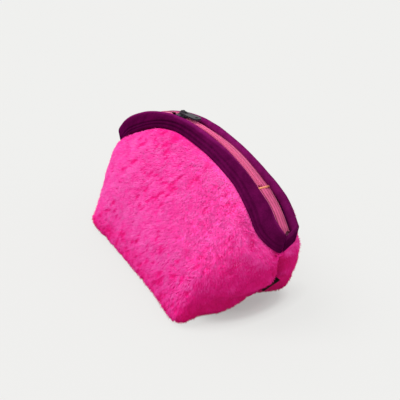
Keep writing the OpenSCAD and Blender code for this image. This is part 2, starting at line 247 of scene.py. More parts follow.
def forward_of(angle):
    """How far the middle line of the mouth comes forward towards the right tip."""
    return RIGHT_TIP_FORWARD * ease(31, RIGHT_TIP, angle)


def on_side(points, angle, back):
    """Points laid for the front of the zip, put on their own side of its middle line."""
    if back:
        points[:, 1] *= -1
    points[:, 1] -= forward_of(angle)
    return points


def thickness_of(angle, back):
    return BACK_THICKNESS + 0 * angle if back else BINDING_THICKNESS - THINNED * thinned(angle)


def slope_of(angle, back):
    """Length of the binding's face under its fold: the front one is slimmer in the middle."""
    slim = ease(-22, 0, angle) * (1 - ease(22, 36, angle))
    front = mix(np.where(angle < 0, FRONT_WIDTH_LEFT, FRONT_WIDTH_RIGHT), FRONT_WIDTH_MIDDLE, slim)
    return (BACK_WIDTH if back else front) - thickness_of(angle, back) / 2


def on_binding(angle, down, out, back):
    """A point of one binding: down its slope from the fold, and out of it."""
    t = binding_tilt(angle)
    half = thickness_of(angle, back) / 2
    drop = mix(BACK_DROP_LEFT, BACK_DROP, ease(-2, 13, angle)) * (1 - ease(16, 32, angle))
    crest = ARC_RADIUS - half - (drop if back else -FRONT_RISE)
    fall = down * np.cos(t) - out * np.sin(t)
    reach = (half_gap(angle, back) + half + down * np.sin(t) + out * np.cos(t)) * nose(angle, back)
    turn = np.radians(angle)
    plumb = turn * (1 - RIGHT_TIP_UPRIGHT * ease(32, RIGHT_TIP, angle))
    x = crest * np.sin(turn) - fall * np.sin(plumb)
    z = ARC_HEIGHT + crest * np.cos(turn) - fall * np.cos(plumb)
    y = (reach if back else -reach) - forward_of(angle)
    return np.stack(np.broadcast_arrays(x, y, z), -1)


def seam_line(height):
    """How far the right side seam lies behind the middle, by its share of the way up."""
    return mix(SEAM_FOOT, SEAM_BACK, ease(0.1, 0.5, height)) * (1 - ease(0.5, 1.0, height))


def on_wall(column, height, back):
    """A point of one wall's outer skin: column from 0 right to 180 left, height from 0 to 1."""
    c = np.cos(np.radians(column))
    s = np.abs(np.sin(np.radians(column)))
    angle = c * tip_of(c)
    under = thickness_of(angle, back) / 2 - BINDING_PROUD
    top = on_binding(angle, slope_of(angle, back) + WALL_SHORT, under, back)
    z = FOOT_HEIGHT + height * (top[..., 2] - FOOT_HEIGHT)
    short = np.clip(BASE_ROLL - z, 0, BASE_ROLL)
    inset = BASE_ROLL - np.sqrt(BASE_ROLL ** 2 - short ** 2)
    corner = (2 * np.abs(c * s)) ** 3
    pull = 1 + (BACK_PULL if back else CORNER_PULL) * corner
    half_x = np.where(c > 0, FOOT_RIGHT, FOOT_LEFT)
    foot_x = (half_x - inset) * np.sign(c) * np.abs(c) ** CORNER_POWER * pull
    half_y = FOOT_BACK if back else FOOT_FRONT + FOOT_SKEW * np.clip(foot_x / FOOT_RIGHT, -1, 1)
    foot_y = (half_y - inset) * s ** CORNER_POWER * pull
    side = ease(0, 0.25, s)
    top_y = np.abs(top[..., 1] + forward_of(angle)) * side
    x = mix(foot_x, top[..., 0], height)
    x = x - np.where(c < 0, 9.5 * LEFT_SWELL * np.abs(c) ** 3 * height ** 3 * (1 - height), 0)
    y = mix(foot_y, top_y, height) + 4 * WALL_BULGE * s * height * (1 - height)
    near_seam = np.clip(1 - y / FOOT_FRONT, 0, 1) ** 3
    middle = np.where(c > 0, seam_line(height) * near_seam, 0) - forward_of(angle) * height
    return np.stack([x, middle + (y if back else -y), z], -1)


def under_wall(column, height, back, depth):
    """The same point, moved into the pouch by a depth along the wall's own normal."""
    step = 0.002
    low = np.clip(height - step, 0, 1)
    high = np.clip(height + step, 0, 1)
    across = on_wall(column + 0.4, height, back) - on_wall(column - 0.4, height, back)
    along = on_wall(column, high, back) - on_wall(column, low, back)
    normal = np.cross(across, along)
    normal /= np.maximum(np.linalg.norm(normal, axis=-1, keepdims=True), 1e-9)
    place = on_wall(column, height, back)
    centre = np.array([0.0, 0.0, 30.0])
    inwards = np.sign(np.sum(normal * (centre - place), axis=-1, keepdims=True))
    return place + normal * inwards * depth[..., None]


def even_column(u):
    """Column for an even share of the way round the foot, so that corners get their share."""
    turn = np.clip(u, 1e-6, 1 - 1e-6) * math.pi
    lean = np.abs(np.tan(turn)) ** 2.2
    column = np.degrees(np.arctan(lean))
    return np.where(turn > math.pi / 2, 180 - column, column)


def finish_piece(name, bm, material, inside=None):
    """The bmesh as an object at the origin, smooth, with its faces turned away from a point inside."""
    bm.normal_update()
    if inside is not None:
        middle = Vector(inside) * MM
        outwards = sum(f.normal.dot(f.calc_center_median() - middle) * f.calc_area() for f in bm.faces)
        if outwards < 0:
            bmesh.ops.reverse_faces(bm, faces=bm.faces[:])
    else:
        bmesh.ops.recalc_face_normals(bm, faces=bm.faces[:])
    mesh = bpy.data.meshes.new(name)
    bm.to_mesh(mesh)
    bm.free()
    mesh.materials.append(material)
    mesh.polygons.foreach_set("use_smooth", [True] * len(mesh.polygons))
    piece = bpy.data.objects.new(name, mesh)
    bpy.context.scene.collection.objects.link(piece)
    return piece


def laid_grid(columns, rows, place):
    """A grid whose two directions, each from 0 to 1, are laid out by a function in millimetres."""
    bm = bmesh.new()
    bmesh.ops.create_grid(bm, x_segments=columns, y_segments=rows, size=1)
    flat = np.array([v.co[:2] for v in bm.verts]) * 0.5 + 0.5
    climb = bm.verts.layers.float.new("climb")
    for v, share in zip(bm.verts, flat[:, 1]):
        v[climb] = float(share)
    layer = bm.loops.layers.uv.new("cloth")
    for face in bm.faces:
        for loop in face.loops:
            loop[layer].uv = (loop.vert.co.x * 0.5 + 0.5, loop.vert.co.y * 0.5 + 0.5)
    points = place(flat[:, 0], flat[:, 1]) * MM
    for v, p in zip(bm.verts, points):
        v.co = p
    return bm


def close_tube(bm):
    bmesh.ops.remove_doubles(bm, verts=bm.verts[:], dist=1e-6)
    rims = [e for e in bm.edges if e.is_boundary]
    if rims:
        bmesh.ops.holes_fill(bm, edges=rims, sides=0)
    return bm


def thicken(piece, thickness, offset=-1.0):
    wall = piece.modifiers.new("thickness", "SOLIDIFY")
    wall.thickness = thickness * MM
    wall.offset = offset
    return piece


# Materials

def linear(red, green, blue):
    """A screen colour from 0 to 255 as the linear colour that a shader takes."""
    values = [v / 255 for v in (red, green, blue)]
    return tuple(v / 12.92 if v <= 0.04045 else ((v + 0.055) / 1.055) ** 2.4 for v in values) + (1.0,)


class Finish:
    """A node material with short calls for the nodes that these finishes share."""

    def __init__(self, name):
        self.material = bpy.data.materials.new(name)
        self.material.use_nodes = True
        self.tree = self.material.node_tree
        self.tree.nodes.clear()
        self.output = self.tree.nodes.new("ShaderNodeOutputMaterial")
        self.shader = self.tree.nodes.new("ShaderNodeBsdfPrincipled")
        self.tree.links.new(self.shader.outputs["BSDF"], self.output.inputs["Surface"])
        self.place = self.tree.nodes.new("ShaderNodeTexCoord")

    def set(self, **values):
        for key, value in values.items():
            self.shader.inputs[key.replace("_", " ")].default_value = value

    def link(self, start, end):
        self.tree.links.new(start, end)

    def attribute(self, name):
        node = self.tree.nodes.new("ShaderNodeAttribute")
        node.attribute_name = name
        return node.outputs["Fac"]

    def noise(self, scale, detail=3.0, stretch=(1, 1, 1)):
        mapping = self.tree.nodes.new("ShaderNodeMapping")
        mapping.inputs["Scale"].default_value = stretch
        self.link(self.place.outputs["Object"], mapping.inputs["Vector"])
        node = self.tree.nodes.new("ShaderNodeTexNoise")
        node.inputs["Scale"].default_value = scale
        node.inputs["Detail"].default_value = detail
        node.inputs["Roughness"].default_value = 0.55
        self.link(mapping.outputs["Vector"], node.inputs["Vector"])
        return node.outputs["Fac"]

    def bands(self, scale, direction):
        node = self.tree.nodes.new("ShaderNodeTexWave")
        node.bands_direction = direction
        node.wave_profile = "SIN"
        node.inputs["Scale"].default_value = scale
        self.link(self.place.outputs["UV"], node.inputs["Vector"])
        return node.outputs["Fac"]

    def ramp(self, value, *stops):
        node = self.tree.nodes.new("ShaderNodeValToRGB")
        points = node.color_ramp.elements
        while len(points) < len(stops):
            points.new(0.5)
        for point, (where, colour) in zip(points, stops):
            point.position = where
            point.color = colour
        self.link(value, node.inputs["Fac"])
        return node.outputs["Color"]

    def blend(self, a, b, value, kind="MIX"):
        node = self.tree.nodes.new("ShaderNodeMix")
        node.data_type = "RGBA"
        node.blend_type = kind
        if isinstance(value, float):
            node.inputs[0].default_value = value
        else:
            self.link(value, node.inputs[0])
        self.link(a, node.inputs[6])
        self.link(b, node.inputs[7])
        return node.outputs[2]

    def range(self, value, low, high):
        node = self.tree.nodes.new("ShaderNodeMapRange")
        node.inputs["To Min"].default_value = low
        node.inputs["To Max"].default_value = high
        self.link(value, node.inputs["Value"])
        return node.outputs["Result"]

    def colour(self, output):
        self.link(output, self.shader.inputs["Base Color"])

    def roughness(self, output, low, high):
        self.link(self.range(output, low, high), self.shader.inputs["Roughness"])

    def bump(self, height, distance, strength=1.0):
        node = self.tree.nodes.new("ShaderNodeBump")
        node.inputs["Strength"].default_value = strength
        node.inputs["Distance"].default_value = distance * MM
        self.link(height, node.inputs["Height"])
        previous = self.shader.inputs["Normal"].links
        if previous:
            self.link(previous[0].from_socket, node.inputs["Normal"])
        self.link(node.outputs["Normal"], self.shader.inputs["Normal"])

    def sheen(self, weight, roughness, tint):
        self.set(Sheen_Weight=weight, Sheen_Roughness=roughness, Sheen_Tint=tint, Specular_IOR_Level=0.0)


def plush_backing():
    finish = Finish("plush_backing")
    tuft = finish.noise(900, 4)
    patch = finish.noise(60, 3)
    deep = finish.ramp(tuft, (0.3, linear(206, 14, 108)), (0.7, linear(236, 40, 146)))
    worn = finish.ramp(patch, (0.35, linear(216, 20, 116)), (0.7, linear(242, 50, 152)))
    pale = finish.ramp(tuft, (0.3, linear(238, 56, 150)), (0.7, linear(250, 88, 178)))
    # The backing is painted paler over the upper right end of each wall, painted light that lightens the
    # shade between its tufts there
    finish.colour(finish.blend(finish.blend(deep, worn, 0.5), pale, finish.attribute("painted_pale_patch")))
    finish.bump(tuft, 0.5)
    finish.roughness(tuft, 0.8, 0.98)
    finish.sheen(0.01, 0.5, linear(255, 120, 190))
    return finish.material


def plush_pile():
    finish = Finish("plush_pile")
    tip = finish.attribute("tip")
    shade = finish.attribute("shade")
    along = finish.ramp(
        tip, (0.0, linear(238, 22, 128)), (0.45, linear(242, 48, 154)), (1.0, linear(246, 84, 176))
    )
    tone = finish.ramp(
        shade, (0.0, linear(214, 0, 92)), (0.4, linear(238, 23, 131)),
        (0.72, linear(244, 75, 170)), (1.0, linear(250, 118, 198))
    )
    finish.colour(finish.blend(along, tone, 0.85))
    finish.roughness(shade, 0.75, 0.95)
    finish.sheen(0.01, 0.5, linear(255, 120, 190))
    return finish.material


def velvet():
    finish = Finish("binding_velvet")
    crest = finish.attribute("crest")
    nap = finish.noise(1500, 3)
    patch = finish.noise(210, 3)
    face = finish.ramp(patch, (0.3, linear(60, 3, 41)), (0.7, linear(76, 4, 52)))
    # fold is the face colour painted brighter, a painted highlight laid on by the crest attribute
    fold = finish.ramp(patch, (0.3, linear(106, 15, 78)), (0.7, linear(126, 22, 94)))
    fine = finish.ramp(nap, (0.25, linear(150, 150, 150)), (0.75, linear(255, 255, 255)))
    # Painted shade multiplied into the sewn grooves
    sewn = finish.attribute("sewn")
    groove_shade_multiply = finish.ramp(sewn, (0.0, linear(255, 255, 255)), (1.0, linear(172, 164, 172)))
    tone = finish.blend(finish.blend(face, fold, crest), fine, 0.55, "MULTIPLY")
    finish.colour(finish.blend(tone, groove_shade_multiply, 1.0, "MULTIPLY"))
    finish.bump(nap, 0.25, 0.8)
    finish.bump(patch, 0.4, 0.5)
    finish.roughness(nap, 0.75, 0.98)
    finish.sheen(0.2, 0.25, linear(205, 30, 190))
    return finish.material


def woven(name, dark, pale, ribs, strength, sheen=0.15):
    finish = Finish(name)
    rib = finish.bands(ribs, "Y")
    pick = finish.bands(260, "X")
    patch = finish.noise(300, 3)
    weave = finish.ramp(rib, (0.02, dark), (0.3, pale))
    cross = finish.ramp(patch, (0.3, dark), (0.7, pale))
    finish.colour(finish.blend(weave, cross, 0.3))
    finish.bump(rib, 0.15, strength)
    finish.bump(pick, 0.05, strength)
    finish.roughness(patch, 0.55, 0.85)
    finish.set(Sheen_Weight=sheen, Specular_IOR_Level=2 * sheen)
    return finish.material


def thread(name, dark, pale):
    finish = Finish(name)
    ply = finish.noise(2600, 2, stretch=(1, 1, 3))
    finish.colour(finish.ramp(ply, (0.3, dark), (0.7, pale)))
    finish.bump(ply, 0.06)
    finish.roughness(ply, 0.6, 0.85)
    finish.set(Specular_IOR_Level=0.1)
    return finish.material


def dark_metal(name, dark, pale, metallic, smooth, rough):
    finish = Finish(name)
    brushed = finish.noise(700, 4, stretch=(1, 6, 6))
    worn = finish.noise(220, 3)
    tone = finish.ramp(brushed, (0.3, dark), (0.7, pale))
    rub = finish.ramp(worn, (0.4, dark), (0.75, pale))
    finish.colour(finish.blend(tone, rub, 0.5))
    finish.bump(brushed, 0.02)
    finish.roughness(worn, smooth, rough)
    finish.set(Metallic=metallic)
    return finish.material


def pressed_board():
    finish = Finish("grey_board")
    fibre = finish.noise(500, 4, stretch=(1, 4, 1))
    finish.colour(finish.ramp(fibre, (0.3, linear(120, 104, 84)), (0.7, linear(160, 142, 116))))
    finish.bump(fibre, 0.1)
    finish.roughness(fibre, 0.8, 0.95)
    return finish.material


PLUSH = plush_backing()
PILE = plush_pile()
VELVET = velvet()
TAPE = woven("zip_tape", linear(126, 22, 66), linear(204, 76, 128), 1.1, 0.6)
COIL = thread("zip_coil", linear(206, 82, 132), linear(230, 114, 158))
SATIN = woven("lining_satin", linear(226, 120, 168), linear(244, 160, 196), 60, 0.2)
RIBBON = woven("label_ribbon", linear(8, 4, 7), linear(26, 18, 24), 30, 0.6, 0.02)
STITCH = thread("binding_thread", linear(46, 2, 32), linear(62, 4, 43))
TACK = thread("tack_thread", linear(226, 132, 96), linear(248, 178, 138))
STOP = thread("lacquered_stop", linear(196, 72, 120), linear(220, 100, 146))
METAL = dark_metal("slider_metal", linear(16, 10, 20), linear(38, 26, 44), 0.1, 0.45, 0.65)
STEEL = dark_metal("spring_steel", linear(70, 70, 74), linear(120, 120, 126), 0.9, 0.28, 0.5)
BOARD = pressed_board()


# Plush walls, their pile and their lining

WALL_COLUMNS = 180
WALL_ROWS = 84


def wall_rows(v):
    return mix(v * v, v, 0.6)


def wall_swell(points):
    """How far the padded wall lies under its fitted skin, in millimetres."""
    soft = 0.9 * wander(points, 26, 1) + 0.5 * wander(points, 11, 2)
    clumps = 0.3 * wander(points, 4.2, 3)
    return BACKING_DEPTH - soft * 0.7 - clumps


def heel_of(skin, height, back):
    """Fullness at the foot of the right end, behind and before its seam."""
    if back:
        full = BACK_HEEL * ease(0, 0.1, height) * (1 - ease(0.22, 0.42, height))
        spread = np.exp(-((skin[:, 1] - 27) / 9) ** 2)
    else:
        full = FRONT_HEEL * ease(0, 0.05, height) * (1 - ease(0.12, 0.3, height))
        spread = np.exp(-((skin[:, 1] + 17) / 11) ** 2)
    return full * np.where(skin[:, 0] > RIGHT_END, spread, 0)


def shoulder_of(c, height):
    """The front wall's left corner stands out under the binding and draws in lower down."""
    out = SHOULDER * ease(0.66, 0.86, height) * (1 - ease(0.93, 1.0, height))
    drawn = SHOULDER_HOLLOW * ease(0.05, 0.3, height) * (1 - ease(0.45, 0.7, height))
    return (out - drawn) * ease(0.4, 0.65, -c) * (1 - ease(0.93, 1.0, -c))


def tip_of_back(c, height):
    """The back wall swells just under the right end of its binding."""
    rise = ease(0.86, 0.96, height) * (1 - ease(0.98, 1.0, height))
    return BACK_TIP_PUFF * ease(0.88, 0.95, c) * rise


def plush_wall(name, back):
    def place(u, v):
        column = even_column(u)
        height = wall_rows(v)
        skin = on_wall(column, height, back)
        c = np.cos(np.radians(column))
        line = np.where(c > 0, seam_line(height) - RIGHT_TIP_FORWARD * height, 0)
        off_seam = np.abs(skin[:, 1] - line)
        width = BACK_SEAM_WIDTH if back else SEAM_WIDTH
        seam = SEAM_DEPTH * np.exp(-(off_seam / width) ** 2) * ease(0.0, 0.12, height)
        seam = seam * (1 - 0.7 * ease(0.8, 1.0, height))
        rise = BACK_PUFF * ease(0.1, 0.5, height) if back else FRONT_PUFF * ease(0.2, 0.6, height)
        puff = rise * ease(0.55, 0.9, c) * (1 - ease(0.88, 1.0, height))
        corner = tip_of_back(c, height) if back else shoulder_of(c, height)
        puff = puff + heel_of(skin, height, back) + corner
        return under_wall(column, height, back, wall_swell(skin) + seam - puff)

    bm = laid_grid(WALL_COLUMNS, WALL_ROWS, place)
    # Painted light: share of the paler backing, at the upper right end away from the side seam
    painted_pale_patch = bm.verts.layers.float.new("painted_pale_patch")
    for v in bm.verts:
        off = ease(0.004, 0.012, abs(v.co.y))
        v[painted_pale_patch] = float(ease(0.0, 0.045, v.co.x) * ease(0.028, 0.045, v.co.z) * off)
    piece = finish_piece(name, bm, PLUSH, inside=(0, 0, 30))
    return thicken(piece, BACKING_THICKNESS)


def lining_wall(name, back):
    """Up the inside of one wall, and on under the binding to the edge of the zip's tape."""
    def place(u, v):
        column = even_column(mix(LINING_OFF_SEAM, 1 - LINING_OFF_SEAM, u))
        height = mix(LINING_FOOT, LINING_TOP, np.clip(v / LINING_TURNS, 0, 1))
        seam = SEAM_DEPTH * np.exp(-(np.minimum(u, 1 - u) / LINING_SEAM) ** 2)
        wall = under_wall(column, height, back, LINING_DEPTH + seam)
        middle = (on_wall(column, height, False)[:, 1] + on_wall(column, height, True)[:, 1]) / 2
        if back:
            wall[:, 1] = np.maximum(wall[:, 1], middle + LININGS_APART)
        else:
            wall[:, 1] = np.minimum(wall[:, 1], middle - LININGS_APART)
        c = np.cos(np.radians(column))
        angle = c * tip_of(c)
        edge = half_gap(angle, back) * nose(angle, back) + LINING_PAST_EDGE
        edge = np.maximum(edge, SLIDER_CLEAR * (1 - ease(24, 30, np.abs(angle))))
        tape = on_side(on_arc(angle, ARC_RADIUS - LINING_UNDER_ARC, edge), angle, back)
        share = np.clip((v - LINING_TURNS) / (1 - LINING_TURNS), 0, 1)[:, None]
        return wall * (1 - share) + tape * share

    bm = laid_grid(96, 48, place)
    loose = [v for v in bm.verts if not v.is_boundary]
    for _ in range(LINING_ROUNDS):
        bmesh.ops.smooth_vert(
            bm, verts=loose, factor=0.5, use_axis_x=True, use_axis_y=True, use_axis_z=True
        )
    piece = finish_piece(name, bm, SATIN, inside=(0, 0, 30))
    return thicken(piece, LINING_THICKNESS)


def foot_sheet(name, inset, height, material, thickness):
    """A flat sheet inside the foot's outline, laid quarter by quarter round it."""
    def place(u, v):
        turn = 4 * u % 1.0
        quarter = np.floor(4 * u) % 4
        share = np.where(quarter % 2 == 0, turn, 1 - turn)
        column = even_column(share / 2)
        back = quarter >= 2
        column = np.where((quarter == 1) | (quarter == 2), 180 - column, column)
        foot = np.zeros(len(u))
        edge = np.where(back[:, None], on_wall(column, foot, True), on_wall(column, foot, False))
        edge = edge * (1 - inset / 50)
        return np.stack([edge[:, 0] * v, edge[:, 1] * v, np.full(len(u), height)], -1)

    bm = laid_grid(96, 16, place)
    bmesh.ops.remove_doubles(bm, verts=bm.verts[:], dist=1e-5)
    piece = finish_piece(name, bm, material, inside=(0, 0, height + 30))
    return thicken(piece, thickness)


def dents_at(ends, points, normals, seed):
    """How deep each tuft's end lies in one of the short slanting dents of the pile, from 0 to 1."""
    dice = np.random.default_rng(seed + 90)
    picks = dice.choice(len(points), DENT_COUNT * 3)
    crowd = wander(points[picks], 30, seed + 7)
    picks = picks[np.argsort(-crowd - 1.5 * dice.random(len(picks)))][:DENT_COUNT]
    depth = np.zeros(len(ends))
    for k in picks:
        normal = normals[k]
        up = np.array([0.0, 0.0, 1.0]) - normal * normal[2]
        if np.linalg.norm(up) < 0.1:
            continue
        up /= np.linalg.norm(up)
        across = np.cross(up, normal)
        along = up * dice.normal(0.8, 0.15) + across * dice.normal(0.6, 0.25) * np.sign(across[0])
        along /= np.linalg.norm(along)
        beside = np.cross(normal, along)
        size = dice.uniform(0.5, 1.3)
        gap = ends - points[k]
        a = gap @ along / (DENT_LENGTH * size)
        b = gap @ beside / (DENT_WIDTH * size)
        c = gap @ normal / DENT_REACH
        depth = np.maximum(depth, dice.uniform(0.5, 1.0) * np.exp(-a * a - b * b - c * c))
    return depth


def under_binding(points, climb):
    """How far each point of a wall lies below the lower edge of the binding over it."""
    height = wall_rows(climb)
    return (points[:, 2] - FOOT_HEIGHT) * (1 - height) / np.maximum(height, 0.01)


def vertex_values(mesh):
    """Place in millimetres, normal and share up the wall of each vertex."""
    points = np.empty(len(mesh.vertices) * 3)
    mesh.vertices.foreach_get("co", points)
    normals = np.array([v.normal[:] for v in mesh.vertices])
    climb = np.empty(len(mesh.vertices))
    mesh.attributes["climb"].data.foreach_get("value", climb)
    return points.reshape(-1, 3) / MM, normals, climb


def scatter(mesh, points, normals, climb, count, dice):
    """Roots spread evenly over a mesh, with the normal and the share up the wall at each."""
    mesh.calc_loop_triangles()
    corners = np.array([t.vertices[:] for t in mesh.loop_triangles])
    a, b, c = (points[corners[:, k]] for k in range(3))
    areas = np.linalg.norm(np.cross(b - a, c - a), axis=1)
    chosen = corners[dice.choice(len(corners), count, p=areas / areas.sum())]
    share = dice.random((count, 2))
    fold = share.sum(1) > 1
    share[fold] = 1 - share[fold]
    weights = (1 - share[:, 0] - share[:, 1], share[:, 0], share[:, 1])

    def between(values):
        spread = (count,) + (1,) * (values.ndim - 1)
        return sum(values[chosen[:, k]] * weights[k].reshape(spread) for k in range(3))

    out = between(normals)
    out /= np.linalg.norm(out, axis=1, keepdims=True)
    return between(points), out, between(climb)


def beside_seam(roots):
    """How far each root lies behind its side seam, and whether it lies in the bare part of it."""
    rise = np.clip(roots[:, 2] / 46, 0, 1)
    line = np.where(roots[:, 0] > 0, seam_line(rise) - RIGHT_TIP_FORWARD * rise, 0)
    behind = roots[:, 1] - line
    at_ends = np.abs(roots[:, 2] - 24) > 16
    return behind, (np.abs(behind) < 2) & at_ends & (np.abs(roots[:, 0]) > 45)


def brush_of(roots, out, seed, dice):
    """The way each tuft is brushed: mostly down the surface, and to the right at the right end."""
    swirl = wander(roots, 9, seed + 4)
    turn = ease(18, 50, roots[:, 0]) * (1 - ease(-16, -7, roots[:, 1]))
    sideways = 0.55 * swirl + mix(-0.3, 0.45, turn)
    brush = np.stack([sideways, np.zeros(len(roots)), -np.ones(len(roots))], -1)
    brush += dice.normal(0, BRUSH_STRAY, (len(roots), 3))
    brush -= out * np.sum(brush * out, axis=1, keepdims=True)
    brush /= np.maximum(np.linalg.norm(brush, axis=1, keepdims=True), 1e-6)
    return brush


def parting_of(roots, seed):
    """How the pile parts in slanting ripples, from about -1 to 1."""
    x, y, z = roots.T
    slant = np.stack([0.58 * x + 0.81 * z, 0.81 * x - 0.58 * z, y], -1)
    ripple = wander(slant * np.array([0.36, 1, 0.7]), 2.4, seed + 5)
    return 0.75 * ripple + 0.25 * wander(roots, 9, seed + 6)


def tuft_mesh(name, body, out, tone):
    """One mesh of slim closed cones, each of three feet and a tip, facing as the plush under it."""
    count = len(body)
    base = 4 * np.arange(count)[:, None]
    faces = np.concatenate([base + f for f in ([0, 1, 3], [1, 2, 3], [2, 0, 3], [2, 1, 0])])
    tufts = bpy.data.meshes.new(name)
    tufts.from_pydata((body.reshape(-1, 3) * MM).tolist(), [], faces.tolist())
    tip = tufts.attributes.new("tip", "FLOAT", "POINT")
    tip.data.foreach_set("value", np.tile([0.0, 0.0, 0.0, 1.0], count))
    shade = tufts.attributes.new("shade", "FLOAT", "POINT")
    shade.data.foreach_set("value", np.repeat(tone, 4))
    tufts.materials.append(PILE)
    tufts.polygons.foreach_set("use_smooth", [True] * len(tufts.polygons))
    soft = body - body.mean(1, keepdims=True)
    soft /= np.maximum(np.linalg.norm(soft, axis=2, keepdims=True), 1e-6)
    facing = 0.65 * out[:, None, :] + 0.35 * soft
    facing /= np.linalg.norm(facing, axis=2, keepdims=True)
    tufts.normals_split_custom_set_from_vertices(facing.reshape(-1, 3).tolist())
    piece = bpy.data.objects.new(name, tufts)
    bpy.context.scene.collection.objects.link(piece)
    return piece


def pile_on(name, piece, count, seed, length):
    """Short tufts over a plush piece, leaning down its surface, with light and shade painted into their
    tone, darkest in dents and creases.
    """
    points, normals, climb = vertex_values(piece.data)
    dice = np.random.default_rng(seed)
    roots, out, climb = scatter(piece.data, points, normals, climb, count, dice)
    below = under_binding(roots, climb)
    behind, in_seam = beside_seam(roots)
    roots, out, below, behind = (rows[~in_seam] for rows in (roots, out, below, behind))
    count = len(roots)
    # Painted light just under the binding towards the right end, and slight painted shade under it at
    # the left
    painted_light_near_binding = (1 - ease(2, 11, below)) * mix(-0.06, 0.2, ease(0, 40, roots[:, 0]))
    brush = brush_of(roots, out, seed, dice)
    parting = parting_of(roots, seed)
    dent = dents_at(roots + brush * (0.55 * length), points, normals, seed)

    lean = np.radians(TUFT_LEAN + 10 * parting + dice.normal(0, LEAN_STRAY, count))[:, None]
    varied = 1 + 0.16 * parting + dice.normal(0, LENGTH_STRAY, count)
    lengths = length * ((1 - DENT_SHORTENS * dent) * varied)[:, None]
    lengths = lengths * (0.55 + 0.45 * ease(0.0, 3.0, below))[:, None]
    roots = roots - out * (DENT_SINKS * dent)[:, None]
    grow = out * np.cos(lean) + brush * np.sin(lean)
    side = np.cross(grow, out)
    side /= np.maximum(np.linalg.norm(side, axis=1, keepdims=True), 1e-6)
    flat = np.cross(grow, side)
    sunk = roots - out * TUFT_SINK
    thirds = (0, 2.094, 4.189)
    feet = [sunk + PILE_RADIUS * (side * math.cos(t) + flat * math.sin(t)) for t in thirds]
    body = np.stack(feet + [roots + grow * lengths], 1)
    body[:, :, 2] = np.maximum(body[:, :, 2], PILE_FLOOR)

    # Painted light and shade in each tuft's tone: paler where the surface faces the front, with painted
    # shade low down and on the right-facing side
    painted_front_light = np.maximum(out @ np.array([-0.1, -0.95, 0.15]), 0.1)
    painted_low_shade = 0.26 * (1 - ease(4, 28, roots[:, 2]))
    # Painted shade on the back wall just behind the right side seam
    crease_shade_zone = (behind > 0) & (roots[:, 0] > RIGHT_END)
    painted_crease_shade = np.where(crease_shade_zone, 0.4 * np.exp(-(behind / CREASE_SHADE_WIDTH) ** 2), 0)
    # Random tone from the ripples and by chance, plus the painted shade of the dents and the crease
    fleck_and_painted_shade = 0.28 * parting - DENT_PAINTED_SHADE * dent - painted_crease_shade + dice.normal(0, TONE_STRAY, count)
    painted_right_side_shade = 0.14 * ease(0.3, 0.7, out[:, 0]) * (1 - ease(39, 50, roots[:, 2]))
    tone = np.clip(0.36 + 0.4 * painted_front_light - painted_low_shade + painted_light_near_binding - painted_right_side_shade + fleck_and_painted_shade, 0, 0.88)
    return tuft_mesh(name, body, out, tone)


front_plush = plush_wall("front_plush", False)
back_plush = plush_wall("back_plush", True)
base_plush = foot_sheet("base_plush", inset=0.0, height=2.2, material=PLUSH, thickness=2.0)
front_satin = lining_wall("front_satin", False)
back_satin = lining_wall("back_satin", True)
base_satin = foot_sheet("base_satin", inset=2.0, height=7.5, material=SATIN, thickness=LINING_THICKNESS)
front_pile = pile_on("front_pile", front_plush, WALL_TUFTS, 11, PILE_LENGTH)
back_pile = pile_on("back_pile", back_plush, WALL_TUFTS, 12, PILE_LENGTH)
base_pile = pile_on("base_pile", base_plush, BASE_TUFTS, 13, PILE_LENGTH * BASE_PILE_SHARE)


# Velvet binding and its sewing

def binding_section(v, angle, back):
    """Down and out of a binding for a share of the way round its section, in millimetres."""
    r = thickness_of(angle, back) / 2
    face = slope_of(angle, back)
    nook = BINDING_NOOK
    turn = math.pi * r
    heel = math.pi * nook / 2
    flat = 2 * (r - nook)
    lengths = [face - nook, turn, face - nook, heel, flat, heel]
    way = v * sum(lengths)
    down = np.zeros_like(v)
    out = np.zeros_like(v)
    start = 0.0
    for k, length in enumerate(lengths):
        here = (way >= start - 1e-9) & (way <= start + length + 1e-9)
        t = np.clip((way - start) / length, 0, 1)
        quarter = math.pi / 2 * t
        if k == 0:
            d, o = (face - nook) * (1 - t), r
        elif k == 1:
            d, o = -r * np.sin(math.pi * t), r * np.cos(math.pi * t)
        elif k == 2:
            d, o = (face - nook) * t, -r
        elif k == 3:
            d = face - nook + nook * np.sin(quarter)
            o = -r + nook - nook * np.cos(quarter)
        elif k == 4:
            d, o = face, -r + nook + flat * t
        else:
            d = face - nook + nook * np.cos(quarter)
            o = r - nook + nook * np.sin(quarter)
        down = np.where(here, d, down)
        out = np.where(here, o, out)
        start += length
    return down, out


